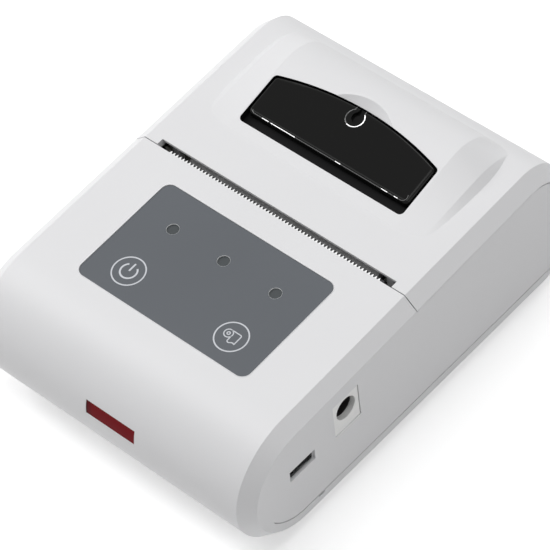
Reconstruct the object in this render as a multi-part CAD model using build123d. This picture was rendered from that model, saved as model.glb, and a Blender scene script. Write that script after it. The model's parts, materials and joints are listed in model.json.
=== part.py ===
from build123d import *
from math import atan2, cos, degrees, hypot, pi, radians, sin, sqrt, tan
import os

# Portable receipt printer, in millimetres. X runs to the right, Y from the nose to the rear, Z up.
# The origin is under the middle of the closed printer, on the surface it stands on.
# The housing is sized from what it holds: its height from the gear train, its width from the print
# mechanism, and its length from the deck and the paper bin.

# Housing
deck_long = 56.0        # nose to the cover's front edge
deck_slope = 0.05       # rise of the deck and cover per millimetre towards the rear
rear_top_radius = 11.5
rear_low_radius = 10.0
bevel_side = 3.2        # bevel round each end, across the width
bevel_rim = 2.9         # the same bevel, in the plane of the side face
wall = 2.0
seam_gap = 0.25
base_rim = 2.2          # base seam inside the crease of the bevel
base_exit = 35.0        # degrees below level at which the base seam leaves the nose
lip_height = 1.5
lip_thick = 0.9
notch_back = 22.0       # opening notches in the base seam, from the nose
notch_wide = 1.8
notch_high = 0.6
notch_deep = 0.8

# Feet and screws
foot_height = 0.5       # how far the pads stand out
foot_radius = 2.8
foot_sunk = 0.6
foot_inset = 7.2        # pad's middle from the side face
foot_front = 36.0       # front pads from the nose
foot_rear = 23.0        # rear pads from the rear wall
boss_radius = 3.2
boss_rib = 1.6          # web from each boss to the side wall
boss_inset = 7.0        # boss axis from the side face
boss_front = 23.0       # front bosses from the nose
boss_rear = 14.8        # rear bosses from the rear wall
screw_radius = 1.3
screw_head_radius = 2.4
screw_head_height = 1.8
screw_bite = 12.0       # depth of the screw's hole above the base seam
screw_end_gap = 0.5
screw_sunk = 1.2
screw_gap = 0.2

# Cover and hinge
cover_rim = 3.1         # depth of the cover's side skirts
bead_radius = 2.6       # round rear edge of the cover
hinge_under = 3.6       # hinge axis below the platen's
hinge_gap = 0.3
knuckle_in = 10.0       # middle of the knuckles from the side face
knuckle_wide = 4.0
pin_radius = 1.0
pin_length = 10.0
running_gap = 0.05
dome_start = 12.9       # foot of the dome behind the cover's front edge
dome_run = 19.4         # foot of the dome to its crest
dome_rise = 0.25        # slope of the dome's front face
dome_end_in = 7.0       # end of the dome in front of the rear wall
dome_side_in = 7.7      # foot of the dome's flanks from the side faces
dome_flank = 9.0        # width of each flank
dome_shoulder = 2.2     # steep outer part of the flank
dome_shoulder_rise = 0.4    # share of the dome's height in that part

# Paper slot and tear bar
slot_width = 2.0
slot_end_in = 6.9       # ends of the slot from the side faces
slot_edge = 0.6         # thickness of the cover's edge at the slot
slot_under = 2.6        # length of the cut under that edge
teeth_pitch = 0.93
tooth_length = 1.0
blade_end_in = 3.2      # ends of the blade from those of the slot
blade_depth = 4.0
blade_thick = 0.5
blade_cover = 0.6       # plastic left above the blade

# Print mechanism, from the platen outwards
platen_back = 6.8       # platen axis behind the cover's front edge
platen_deep = 7.4       # platen axis below the deck's edge
platen_radius = 5.0
platen_half = 27.5
platen_end_gap = 1.1    # to the frame's side plates
shaft_radius = 1.5
bush_radius = 3.0
bush_long = 3.6
bush_in = 0.5           # inner end of the bushes from the plates' inner face
plate_thick = 1.2
arm_gap = 0.5           # side plates to the cover's bearing arms
arm_thick = 1.8
arm_radius = 3.9
head_thick = 0.7
sink_thick = 2.9
sink_over = 0.6         # heat sink past the head's ends
sink_grooves = 4
groove_pitch = 2.2
groove_wide = 1.0
groove_deep = 1.2
groove_low = 3.4        # first groove above the heat sink's lower edge
head_end_in = 0.5       # ends of the head from the platen's
head_below = 9.0        # reach of the heat sink below the platen's axis
head_above = 3.8
head_foot = 1.0         # head above the heat sink's lower edge
head_gap = 0.05
head_tilt_gap = 0.4     # springs to the frame's front wall
trunnion_radius = 1.0
frame_wall = 1.2
frame_bin_gap = 0.9
frame_behind = 5.2      # reach of the plates behind the platen's axis
frame_above = 2.2       # and above it
frame_foot_gap = 0.2
frame_foot_wide = 3.6
mech_screw_radius = 0.6
mech_screw_in = 2.2     # screws from the ends of the frame's feet
mech_head_radius = 1.05
mech_head_height = 0.9
shelf_gap = 1.2         # shelf below the heat sink
shelf_long = 4.0        # reach of the shelf behind the head's axis plane
gear_module = 0.5
platen_teeth = 18
idler_teeth = 24
pinion_teeth = 14
gear_wide = 2.4
gear_gap = 0.4          # bearing arms to the gears
gear_room = 4.0         # gears to the side wall
gear_dish = 0.8         # depth of the recess in the gears' faces
idler_radius = 1.5
hub_step = 1.2          # shoulder round an axle
mesh_gap = 0.1          # added to the centre distance
backlash = 0.1
motor_radius = 6.6
motor_long = 13.0
motor_floor_gap = 0.34  # motor above the case's floor
motor_lean = 2.4        # motor axis in front of the idler's
motor_flange = 1.0
motor_ear = 3.5         # reach of the flange past the can
motor_shaft_radius = 1.0
motor_shaft_in = 1.5
spring_radius = 2.0
spring_x = 18.0
spring_long = 2.95
spring_below = 1.1      # spring axis below the platen's
spring_turns = 4
spring_wire = 0.4

# Paper bin
bin_radius = 16.5
bin_near = 3.5          # front of the bin behind the platen's axis
bin_side = 1.5          # bin past the platen's ends
bin_wall = 1.2
bin_rear_gap = 5.4      # bin to the rear wall
bin_floor_gap = 0.2
bin_above = 0.6         # rim above the platen's axis
bin_platen_gap = 1.0
bin_lip_gap = 2.1       # paper guide below the platen
bin_lip_long = 4.0      # paper guide in front of the platen's axis
bin_lip_side = 0.8      # paper guide to the frame's plates
sensor_wide = 4.0
sensor_long = 3.2
sensor_high = 1.4
sensor_in = 1.2         # sensor behind the guide's front edge

# Release lever in the dome
window_back = 2.9       # window's front edge behind the dome's foot
window_half = 23.7
window_deep = 13.4      # front edge to the rear corners, along the dome
window_arc_rise = 3.55
window_corner = 1.2
insert_sunk = 2.0
insert_thick = 1.2
insert_gap = 0.08
insert_flange = 1.2
insert_flange_in = 3.0  # ends of the flange from the window's
bearing_half = 1.6      # half the size of the lever's bearing blocks
bearing_room = 0.4      # round the lever's lugs
lever_side_gap = 0.5
lever_front = 2.7
lever_thick = 1.5
lever_proud = 0.3
lever_notch = 1.5       # radius of the grip notch in the lever's rear edge
lever_notch_deep = 0.8
lever_gap = 0.3
lever_round = 0.9
lever_pin_radius = 0.8
lever_pin_in = 4.8      # pin behind the window's front edge
lever_pin_deep = 3.0    # pin below the dome's face
lever_lug_in = 4.3      # outer face of the lugs from the lever's ends
lever_lug_wide = 2.0
lever_lug_radius = 1.5
lever_spring_long = 2.4
scoop_plan_radius = 11.8
scoop_reach = 2.8       # behind the window's rear arc
scoop_round = 14.0
scoop_wall = 1.4

# Control panel on the deck
panel_wide = 49.2
panel_nose_gap = 3.1   # front edge behind the end of the flat deck
panel_rear = 6.4        # rear edge from the cover's seam
panel_corner = 2.3
panel_thick = 0.3
panel_sunk = 0.12       # film below the deck's face
panel_gap = 0.05
key_x = 14.95
key_in = 6.85            # keys behind the panel's front edge
key_radius = 4.1
key_gap = 0.06
key_flange = 0.9
key_flange_thick = 0.7
key_flange_gap = 0.1
key_travel = 0.3
led_x = 14.9
led_in = 9.2            # lights in front of the panel's rear edge
led_radius = 1.5
led_flange = 0.7
led_sunk = 0.5          # lens below the deck's face
light_gap = 0.03
key_board_deep = 6.3
key_board_thick = 1.0
key_board_half = 22.0
key_board_in = 1.8      # board behind the panel's front edge
key_board_rear = 10.5
switch_side = 6.0
switch_high = 1.8
plunger_radius = 1.6
plunger_rest = 0.35     # key stem above the switch plunger
plunger_high = 0.65
chip_long = 3.2
chip_wide = 1.6
chip_high = 1.1
ribbon_half = 6.0
ribbon_thick = 0.25
ribbon_bow = 2.8        # cable in front of the key board
post_radius = 1.8
post_x = 19.5
post_in = 1.4           # posts behind the line midway between keys and lights

# Sockets and window of the case
board_up = 1.15          # top of the main board above the nose's axis
board_thick = 1.6
board_edge_gap = 0.5
board_front = 7.5       # front edge from the nose
board_long = 32.0
jack_back = 32.25        # barrel socket from the nose
jack_wide = 8.0
jack_high = 9.8
jack_long = 13.0
jack_hole_up = 5.9      # hole above the board
jack_hole_radius = 3.0
jack_hole_deep = 9.5
jack_pin_radius = 1.0
jack_pin_short = 3.0
socket_gap = 0.15
socket_sunk = 0.25
usb_back = 17.55         # small socket from the nose
usb_wide = 7.6
usb_high = 2.7
usb_long = 5.2
usb_sheet = 0.3
usb_sunk = 0.5
usb_gap = 0.2
tongue_thick = 0.6
tongue_in = 1.0
ir_half = 7.1
ir_x = 1.3
ir_up = 0.6             # window's lower edge above the board's top
ir_high = 3.8
ir_sunk = 0.3
ir_gap = 0.05
ir_flange = 1.2
ir_module_half = 4.6
ir_module_deep = 3.0
ir_module_high = 3.6
ir_module_in = 0.3
ir_lens_long = 1.0
ir_lens_rim = 0.4

# Large components on the main board
chip_x = -6.0
chip_back = 28.0        # from the nose
chip_side = 10.0
chip_thick = 1.5
capacitor_x = -27.0
capacitor_back = 33.0
capacitor_radius = 3.2
capacitor_high = 7.0
capacitor_base = 0.6

# Battery and its door
pack_side_gap = 0.9     # to the screw posts
pack_front = 19.4       # from the nose
pack_rear_gap = 4.8     # to the print mechanism
pack_high = 12.4
pack_gap = 0.3
pack_round = 2.0
contact_x = -16.0
contact_back = 34.0
contact_pitch = 4.0
contact_radius = 0.9
contact_tip = 0.8
door_over = 0.6         # door past the pack's front and rear
door_over_side = 0.8
door_thick = 1.6
door_gap = 0.3
door_bead = 0.8
grip_radius = 6.0
grip_out = 2.0
bay_wall = 1.2
bay_high = 9.0
bay_sunk = 0.5          # bay's walls above the case's lower face

# Values worked out from the ones above
slope_len = hypot(1.0, deck_slope)
floor_z = foot_height + wall
plate_x = platen_half + platen_end_gap
arm_x = plate_x + plate_thick + arm_gap
gear_x = arm_x + arm_thick + gear_gap
half = gear_x + gear_wide + gear_room + wall
bin_span = 2 * bin_radius + bin_wall
length = deck_long + platen_back + bin_near + bin_span + bin_rear_gap + wall
front_y = -length / 2
rear_y = length / 2
seam_y = front_y + deck_long
far = length + 2 * half
platen_y = seam_y + platen_back
hinge_y = rear_y - bead_radius

# Gear train: the idler hangs under the platen gear on the line along which the cover lifts it,
# so the teeth part cleanly, and the motor's pinion meshes with the idler from below
lift = hypot(hinge_y - platen_y, hinge_under)
lift_y, lift_z = hinge_under / lift, (hinge_y - platen_y) / lift
upper_gap = gear_module * (platen_teeth + idler_teeth) / 2 + mesh_gap
lower_gap = gear_module * (idler_teeth + pinion_teeth) / 2 + mesh_gap
idler_y = platen_y - lift_y * upper_gap
motor_y = idler_y - motor_lean
motor_z = floor_z + motor_floor_gap + motor_radius
idler_z = motor_z + sqrt(lower_gap**2 - motor_lean**2)
platen_z = idler_z + lift_z * upper_gap
hinge_z = platen_z - hinge_under
hinge_low = hinge_z - bead_radius - hinge_gap
seam_z = platen_z + platen_deep

nose_radius = (seam_z + deck_slope * (front_y - seam_y) - foot_height) / (1 + slope_len - deck_slope)
nose_y = front_y + nose_radius
nose_z = foot_height + nose_radius
base_seam = nose_radius - bevel_rim - base_rim
base_seam_z = nose_z - base_seam

foot_x = half - foot_inset
foot_front_y, foot_rear_y = front_y + foot_front, rear_y - foot_rear
boss_x = half - boss_inset
boss_front_y, boss_rear_y = front_y + boss_front, rear_y - boss_rear
knuckle_x = half - knuckle_in
dome_start_y = seam_y + dome_start
dome_crest_y = dome_start_y + dome_run
dome_end_y = rear_y - dome_end_in
dome_foot_half = half - dome_side_in
dome_flat_half = dome_foot_half - dome_flank

slot_half = half - slot_end_in
teeth_count = round(2 * (slot_half - blade_end_in) / teeth_pitch)
blade_half = teeth_count * teeth_pitch / 2

head_half = platen_half - head_end_in
sink_half = head_half + sink_over
head_front = platen_y - platen_radius - head_gap - head_thick
head_y = head_front - sink_thick / 2
head_low_z = platen_z - head_below
head_pivot_z = head_low_z
head_top_z = platen_z + head_above
spring_z = platen_z - spring_below
frame_front_y = head_front - sink_thick - spring_long - head_tilt_gap - frame_wall
frame_low_z = floor_z + frame_foot_gap
frame_top_z = platen_z + frame_above
frame_rear_y = platen_y + frame_behind
shelf_z = head_low_z - shelf_gap - frame_wall
bush_low_x = plate_x - bush_in

bin_half = platen_half + bin_side
bin_y = platen_y + bin_near + bin_radius
bin_z = floor_z + bin_floor_gap + bin_wall + bin_radius
bin_rim_z = platen_z + bin_above
bin_front_y = platen_y + platen_radius + bin_platen_gap
bin_lip_z = platen_z - platen_radius - bin_lip_gap
bin_lip_front_y = platen_y - bin_lip_long
bin_lip_half = plate_x - bin_lip_side
frame_rear_low_y = bin_y - bin_radius - bin_wall - frame_bin_gap

window_y = dome_start_y + window_back
lever_half = window_half - lever_side_gap
lever_pin_x = lever_half - lever_lug_in - lever_lug_wide

deck_flat = (seam_y - nose_y) * slope_len + nose_radius * deck_slope
panel_front = deck_flat - panel_nose_gap
panel_long = panel_front - panel_rear
key_back = panel_front - key_in
led_back = panel_rear + led_in
key_board_front = panel_front - key_board_in
key_board_long = key_board_front - key_board_rear
post_back = (key_back + led_back) / 2 - post_in

board_top = nose_z + board_up
board_front_y = front_y + board_front
board_rear_y = board_front_y + board_long
jack_y = front_y + jack_back
jack_hole_z = board_top + jack_hole_up
jack_face = half - socket_sunk
usb_y = front_y + usb_back
usb_z = board_top + usb_high / 2
usb_face = half - usb_sunk
ir_low_z = board_top + ir_up
ir_high_z = ir_low_z + ir_high
chip_y = front_y + chip_back
capacitor_y = front_y + capacitor_back

pack_half = boss_x - boss_radius - lip_thick - pack_side_gap
pack_front_y = front_y + pack_front
pack_rear_y = frame_front_y - pack_rear_gap
door_top_z = foot_height + door_thick
pack_low_z = door_top_z + pack_gap
contact_y = front_y + contact_back
door_half = pack_half + door_over_side
door_front_y, door_rear_y = pack_front_y - door_over, pack_rear_y + door_over


# Turn of a gear at which its teeth fit those of the gear it meets; toward is the direction to that gear
def mesh_turn(teeth, toward, other_teeth, other_turn):
    pitch, other_pitch = 360 / teeth, 360 / other_teeth
    share = ((toward + 180 - other_turn) % other_pitch) / other_pitch
    return toward + share * pitch + pitch / 2


up_angle = degrees(atan2(platen_z - idler_z, platen_y - idler_y))
down_angle = degrees(atan2(motor_z - idler_z, motor_y - idler_y))
platen_turn = 0.0
idler_turn = mesh_turn(idler_teeth, up_angle, platen_teeth, platen_turn)
pinion_turn = mesh_turn(pinion_teeth, down_angle + 180, idler_teeth, idler_turn)


def top_z(y):
    return seam_z + deck_slope * (y - seam_y)


# Local frame of the deck: Y runs back up the slope from the cover's seam, Z stands out of it
deck = Plane(origin=(0, seam_y, seam_z), x_dir=(1, 0, 0), z_dir=(0, -deck_slope, 1))

# Local frame of the dome's sloping front face, with its origin at the window's front edge
window_z = top_z(dome_start_y) + dome_rise * (window_y - dome_start_y)
dome = Plane(origin=(0, window_y, window_z), x_dir=(1, 0, 0), z_dir=(0, -dome_rise, 1))
dome_axis = Axis((0, window_y, window_z), (0, -dome_rise, 1))


# Small helpers for plain shapes
def block(x0, x1, y0, y1, z0, z1):
    return Pos((x0 + x1) / 2, (y0 + y1) / 2, (z0 + z1) / 2) * Box(x1 - x0, y1 - y0, z1 - z0)


def rod_x(radius, y, z, x0, x1):
    return Pos((x0 + x1) / 2, y, z) * Rot(0, 90, 0) * Cylinder(radius, x1 - x0)


def rod_y(radius, x, z, y0, y1):
    return Pos(x, (y0 + y1) / 2, z) * Rot(90, 0, 0) * Cylinder(radius, y1 - y0)


def rod_z(radius, x, y, z0, z1):
    return Pos(x, y, (z0 + z1) / 2) * Cylinder(radius, z1 - z0)


# Plate in the deck's frame, with its top face at height z
def deck_plate(wide, long, x, y, z, thick):
    return deck * Pos(x, y, z - thick / 2) * Box(wide, long, thick)


def dome_block(x0, x1, y0, y1, z0, z1):
    return dome * block(x0, x1, y0, y1, z0, z1)


def slab(face, x0, x1):
    return extrude(Plane.YZ.offset(x0) * face, amount=x1 - x0)


def side_polygon(*points):
    return make_face(Polyline(*points, close=True))


def ring(outer, inner, y, z, x0, x1):
    return rod_x(outer, y, z, x0, x1) - rod_x(inner, y, z, x0 - 1, x1 + 1)


def both_sides(shape):
    return [shape, mirror(shape, about=Plane.YZ)]


def solid_of(*shapes):
    merged = shapes[0]
    for shape in shapes[1:]:
        merged = merged + shape
    return merged


# Side view of the body, shrunk by inset: full-round nose, sloping top, rounded rear
def outline(inset):
    low, front, rear = foot_height + inset, front_y + inset, rear_y - inset
    nose = nose_radius - inset
    lean_y, lean_z = -deck_slope / slope_len, 1 / slope_len
    r_top = rear_top_radius - inset
    r_low = rear_low_radius - inset
    top_cy = rear - r_top
    top_cz = top_z(top_cy) - inset * slope_len - r_top * slope_len
    nose_top = (nose_y + nose * lean_y, nose_z + nose * lean_z)
    rear_top = (top_cy + r_top * lean_y, top_cz + r_top * lean_z)
    k = sqrt(0.5)
    edges = [
        ThreePointArc((nose_y, low), (front, nose_z), nose_top),
        Line(nose_top, rear_top),
        ThreePointArc(rear_top, (top_cy + k * r_top, top_cz + k * r_top), (rear, top_cz)),
        Line((rear, top_cz), (rear, low + r_low)),
        ThreePointArc((rear, low + r_low), (rear - (1 - k) * r_low, low + (1 - k) * r_low),
                      (rear - r_low, low)),
        Line((rear - r_low, low), (nose_y, low)),
    ]
    return make_face(edges)


# Whole body, shrunk by inset, with the bevel round both ends
def body_form(inset):
    end = half - inset
    flat = end - bevel_side
    sections = [(-end, inset + bevel_rim), (-flat, inset), (flat, inset), (end, inset + bevel_rim)]
    return loft([Plane.YZ.offset(x) * outline(shrink) for x, shrink in sections], ruled=True)


# Side view of the dome over the paper roll; share is its part of the full height, and at 0 it lies
# just under the cover's top
def dome_side(inset, share):
    sink = inset * slope_len + (1 - share) * seam_gap
    rise = deck_slope + share * (dome_rise - deck_slope)
    start = (dome_start_y, top_z(dome_start_y) - sink)
    crest = (dome_crest_y, top_z(dome_start_y) + rise * dome_run - sink)
    fall = rear_top_radius - sqrt(rear_top_radius**2 - (rear_top_radius - dome_end_in) ** 2)
    end_y = dome_end_y - sink
    end_z = top_z(rear_y - rear_top_radius) - fall - 0.6 * sink
    low = hinge_z + bead_radius
    edges = [
        Line(start, crest),
        TangentArc(crest, (end_y, end_z), tangent=(1, rise)),
        Line((end_y, end_z), (end_y, low)),
        Line((end_y, low), (start[0], low)),
        Line((start[0], low), start),
    ]
    return make_face(edges)


# Dome: flat in the middle, with flanks that end in a steeper shoulder
def dome_form(inset):
    foot, flat = dome_foot_half - inset, dome_flat_half - inset
    sides = [(foot, 0), (foot - dome_shoulder, dome_shoulder_rise), (flat, 1)]
    sections = [(-x, share) for x, share in sides] + sides[::-1]
    return loft([Plane.YZ.offset(x) * dome_side(inset, share) for x, share in sections], ruled=True)


# Everything below the base seam, which follows the crease of the bevel and leaves under the nose
def below_seam(grow):
    seam = base_seam - grow
    low = nose_z - seam
    angle = radians(base_exit)
    middle = (angle + pi / 2) / 2
    out = nose_radius + far
    turn = (nose_y - seam * cos(angle), nose_z - seam * sin(angle))
    mid = (nose_y - seam * cos(middle), nose_z - seam * sin(middle))
    leave = (nose_y - out * cos(angle), nose_z - out * sin(angle))
    edges = [
        ThreePointArc((nose_y, low), mid, turn),
        Line(turn, leave),
        Line(leave, (leave[0], -far)),
        Line((leave[0], -far), (far, -far)),
        Line((far, -far), (far, low)),
        Line((far, low), (nose_y, low)),
    ]
    return slab(make_face(edges), -far, far)


shell = body_form(0) - body_form(wall)

# Space of the cover, grown by gap: behind its seam, outside the skirt line and above the hinge
def cover_space(gap):
    space = block(-far, far, seam_y + seam_gap - gap, far, hinge_z if gap == 0 else hinge_low, far)
    return space - slab(outline(cover_rim + gap), -far, far)


def screw_places():
    return [(sx * boss_x, y) for y in (boss_front_y, boss_rear_y) for sx in (-1, 1)]


def key_places():
    return [deck * Pos(sx * key_x, -key_back, 0) for sx in (-1, 1)]


def light_places():
    return [deck * Pos(sx * led_x, -led_back, 0) for sx in (-1, 0, 1)]


def foot_places():
    return [(sx * foot_x, y) for y in (foot_front_y, foot_rear_y) for sx in (-1, 1)]


def mech_screw_places():
    x = plate_x + (plate_thick + frame_foot_wide) / 2
    return [(sx * x, y) for y in (frame_front_y + mech_screw_in, frame_rear_low_y - mech_screw_in)
            for sx in (-1, 1)]


# Case, upper shell
def top_case():
    case = shell - below_seam(seam_gap) - cover_space(seam_gap)
    case -= rod_x(bead_radius + hinge_gap, hinge_y, hinge_z, -far, far)
    near, away = knuckle_x - knuckle_wide / 2, knuckle_x + knuckle_wide / 2
    knuckle = rod_x(bead_radius, hinge_y, hinge_z, near, away)
    knuckle += block(near, away, hinge_y - 0.85 * bead_radius, rear_y - wall / 2, hinge_low - wall, hinge_z)
    knuckle -= rod_x(pin_radius + running_gap, hinge_y, hinge_z, near - 1, away + 1)
    for piece in both_sides(knuckle):
        case += piece
    boss_top = board_top - board_thick
    for x, y in screw_places():
        boss = rod_z(boss_radius, x, y, base_seam_z + seam_gap, boss_top)
        rib = Pos(x, y, 0) * block(-half, half, -boss_rib / 2, boss_rib / 2,
                                   base_seam_z + lip_height + seam_gap, boss_top)
        rib -= block(-boss_x, boss_x, -far, far, -far, far)
        case += (boss + rib) & body_form(wall / 2)
        case -= rod_z(screw_radius, x, y, 0, base_seam_z + screw_bite)
    # recess of the control panel, with its key and light holes
    panel = RectangleRounded(panel_wide + 2 * panel_gap, panel_long + 2 * panel_gap, panel_corner)
    recess = panel_sunk + panel_thick
    case -= extrude(deck * Pos(0, panel_long / 2 - panel_front, -recess) * panel, amount=recess + 1)
    for place in key_places():
        case -= place * Cylinder(key_radius + key_gap, 3 * wall)
    for place in light_places():
        case -= place * Cylinder(led_radius + light_gap, 3 * wall)
    # posts that carry the key board
    reach = key_board_deep - wall / 2
    for sx in (-1, 1):
        case += deck * Pos(sx * post_x, -post_back, -wall / 2 - reach / 2) * Cylinder(post_radius, reach)
    # pocket of the blade under the deck's rear edge
    case -= deck_plate(2 * (blade_half + panel_gap), blade_depth + wall, 0, (wall - blade_depth) / 2,
                       -blade_cover, blade_thick)
    # openings for the two sockets and the infrared window
    jack_room = jack_wide / 2 + socket_gap
    case -= block(half - 2 * wall, far, jack_y - jack_room, jack_y + jack_room,
                  board_top, board_top + jack_high + socket_gap)
    usb_room, usb_rise = usb_wide / 2 + usb_gap, usb_high / 2 + usb_gap
    case -= block(half - 2 * wall, far, usb_y - usb_room, usb_y + usb_room,
                  usb_z - usb_rise, usb_z + usb_rise)
    case -= block(ir_x - ir_half, ir_x + ir_half, -far, nose_y, ir_low_z, ir_high_z)
    return case


# Case, lower shell, with the battery bay, the lip inside the seam and the screw posts
def bottom_case():
    case = shell & below_seam(0)
    flat = half - wall - bevel_side
    lip = (body_form(wall) - body_form(wall + lip_thick)) & below_seam(lip_height)
    case += lip - block(-flat, flat, nose_y, rear_y - rear_low_radius, floor_z, far)
    bay = block(-door_half - bay_wall, door_half + bay_wall, pack_front_y - pack_gap - bay_wall,
                door_rear_y + bay_wall, foot_height + bay_sunk, floor_z + bay_high)
    case += bay & body_form(wall / 2)
    for x, y in screw_places():
        post = rod_z(boss_radius + lip_thick, x, y, foot_height, base_seam_z)
        case += post & body_form(wall / 2)
        case -= rod_z(boss_radius + screw_gap, x, y, base_seam_z, base_seam_z + far)
        case -= rod_z(screw_radius + screw_gap, x, y, -1, base_seam_z + 1)
        case -= rod_z(screw_head_radius + screw_gap, x, y, -1, foot_height + screw_sunk + screw_head_height)
    pack_room, door_room = pack_half + pack_gap, door_half + door_gap
    case -= block(-pack_room, pack_room, pack_front_y - pack_gap, pack_rear_y + pack_gap, -1, far)
    case -= block(-door_room, door_room, door_front_y - door_gap, door_rear_y + door_gap,
                  -1, door_top_z + running_gap)
    for x, y in foot_places():
        case -= rod_z(foot_radius + running_gap, x, y, -1, foot_height + foot_sunk)
    for x, y in mech_screw_places():
        case -= rod_z(mech_screw_radius, x, y, foot_height + foot_sunk, far)
    # small notches in the seam's edge, one in each side
    notch_y = front_y + notch_back
    notch = block(half - notch_deep, far, notch_y - notch_wide / 2, notch_y + notch_wide / 2,
                  base_seam_z - notch_high, far)
    for piece in both_sides(notch):
        case -= piece
    return case


def rubber_feet():
    return [rod_z(foot_radius, x, y, 0, foot_height + foot_sunk) for x, y in foot_places()]


def case_screws():
    screws = []
    for x, y in screw_places():
        seat = foot_height + screw_sunk + screw_head_height
        screws.append(rod_z(screw_head_radius, x, y, seat - screw_head_height, seat)
                      + rod_z(screw_radius, x, y, seat, base_seam_z + screw_bite - screw_end_gap))
    return screws


# Serrated blade: its teeth stand out of the deck's edge into the paper slot
def tear_bar():
    points = [(-blade_half, -blade_depth), (-blade_half, 0)]
    for i in range(teeth_count):
        start = -blade_half + i * teeth_pitch
        points += [(start + teeth_pitch / 2, tooth_length), (start + teeth_pitch, 0)]
    points += [(blade_half, -blade_depth)]
    face = make_face(Polyline(*points, close=True))
    return extrude(deck * Pos(0, 0, -blade_cover - blade_thick) * face, amount=blade_thick)


# Printed film over the deck, with the holes of the keys and lights
def control_panel():
    film = extrude(deck * Pos(0, panel_long / 2 - panel_front, -panel_sunk - panel_thick)
                   * RectangleRounded(panel_wide, panel_long, panel_corner), amount=panel_thick)
    for place in key_places():
        film -= place * Cylinder(key_radius + key_gap, 3 * wall)
    for place in light_places():
        film -= place * Cylinder(led_radius + light_gap, 3 * wall)
    return film


# Push key: its flange stops under the deck and its stem stands over the switch
def key(place):
    flange_top = -wall - key_flange_gap
    stem_low = -key_board_deep + switch_high + plunger_high + plunger_rest
    cap = rod_z(key_radius, 0, 0, flange_top, -panel_sunk)
    flange = rod_z(key_radius + key_flange, 0, 0, flange_top - key_flange_thick, flange_top)
    return place * (cap + flange + rod_z(plunger_radius, 0, 0, stem_low, flange_top))


def light_pipe(place):
    pin = rod_z(led_radius, 0, 0, -wall, -led_sunk)
    return place * (pin + rod_z(led_radius + led_flange, 0, 0, -wall - led_flange, -wall))


def key_board():
    return deck_plate(2 * key_board_half, key_board_long, 0, key_board_long / 2 - key_board_front,
                      -key_board_deep, key_board_thick)


def tact_switches():
    switches = []
    for place in key_places():
        top = -key_board_deep + switch_high
        body = Pos(0, 0, top - switch_high / 2) * Box(switch_side, switch_side, switch_high)
        switches.append(place * (body + rod_z(plunger_radius, 0, 0, top, top + plunger_high)))
    return switches


def indicator_chips():
    return [place * Pos(0, 0, -key_board_deep + chip_high / 2) * Box(chip_long, chip_wide, chip_high)
            for place in light_places()]


# Flat cable from the key board's front edge down to the main board
def key_ribbon():
    corner = deck * Pos(0, -key_board_front, -key_board_deep - key_board_thick / 2)
    y, z = corner.position.Y, corner.position.Z
    bow = ribbon_bow
    path = [(y, z), (y - 0.8 * bow, z - 0.3 * bow), (y - bow, z - bow), (y - bow, board_top + 0.4 * bow),
            (y - 0.8 * bow, board_top)]
    back = [(py + ribbon_thick, pz - ribbon_thick * 0.6) for py, pz in reversed(path[1:-1])]
    end = (path[-1][0] + ribbon_thick * 1.4, board_top)
    return slab(side_polygon(*path, end, *back, (y, z - ribbon_thick)), -ribbon_half, ribbon_half)


def main_board():
    board = block(-half, half, board_front_y, board_rear_y, board_top - board_thick, board_top)
    return board & body_form(wall + board_edge_gap)


# Barrel socket: its mouth lies in the right side face
def dc_jack():
    body = block(jack_face - jack_long, jack_face, jack_y - jack_wide / 2, jack_y + jack_wide / 2,
                 board_top, board_top + jack_high)
    return body - rod_x(jack_hole_radius, jack_y, jack_hole_z, jack_face - jack_hole_deep, half)


def jack_pin():
    return rod_x(jack_pin_radius, jack_y, jack_hole_z, jack_face - jack_hole_deep, jack_face - jack_pin_short)


def usb_socket():
    shape = Plane.YZ.offset(usb_face - usb_long) * Pos(usb_y, usb_z, 0)
    outer = extrude(shape * RectangleRounded(usb_wide, usb_high, usb_high / 4), amount=usb_long)
    hollow = shape * Pos(0, 0, usb_sheet) * RectangleRounded(
        usb_wide - 2 * usb_sheet, usb_high - 2 * usb_sheet, usb_high / 4 - usb_sheet / 2)
    return outer - extrude(hollow, amount=usb_long)


def usb_tongue():
    return block(usb_face - usb_long + usb_sheet, usb_face - tongue_in,
                 usb_y - usb_wide / 4, usb_y + usb_wide / 4, usb_z, usb_z + tongue_thick)


def ir_window():
    wide, rim = ir_half - ir_gap, ir_half + ir_flange
    pane = body_form(ir_sunk) - body_form(wall)
    pane &= block(ir_x - wide, ir_x + wide, -far, nose_y, ir_low_z + ir_gap, ir_high_z - ir_gap)
    flange = body_form(wall) - body_form(wall + lip_thick)
    flange &= block(ir_x - rim, ir_x + rim, -far, nose_y, ir_low_z - ir_flange, ir_high_z + ir_flange)
    return pane + flange


# Infrared module: a block on the board's front edge with two round lenses
def ir_transceiver():
    front, middle = board_front_y + ir_module_in, ir_module_high / 2
    body = block(ir_x - ir_module_half, ir_x + ir_module_half, front, front + ir_module_deep,
                 board_top, board_top + ir_module_high)
    for x in (ir_x - ir_module_half / 2, ir_x + ir_module_half / 2):
        body += rod_y(middle - ir_lens_rim, x, board_top + middle, front - ir_lens_long, front)
    return body


def controller_chip():
    return Pos(chip_x, chip_y, board_top + chip_thick / 2) * Box(chip_side, chip_side, chip_thick)


def storage_capacitor():
    foot = board_top + capacitor_base
    can = rod_z(capacitor_radius, capacitor_x, capacitor_y, foot, board_top + capacitor_high)
    return can + block(capacitor_x - capacitor_radius, capacitor_x + capacitor_radius,
                       capacitor_y - capacitor_radius, capacitor_y + capacitor_radius, board_top, foot)


def battery_pack():
    pack = block(-pack_half, pack_half, pack_front_y, pack_rear_y, pack_low_z, pack_low_z + pack_high)
    return fillet(pack.edges().filter_by(Axis.X), pack_round)


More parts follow.
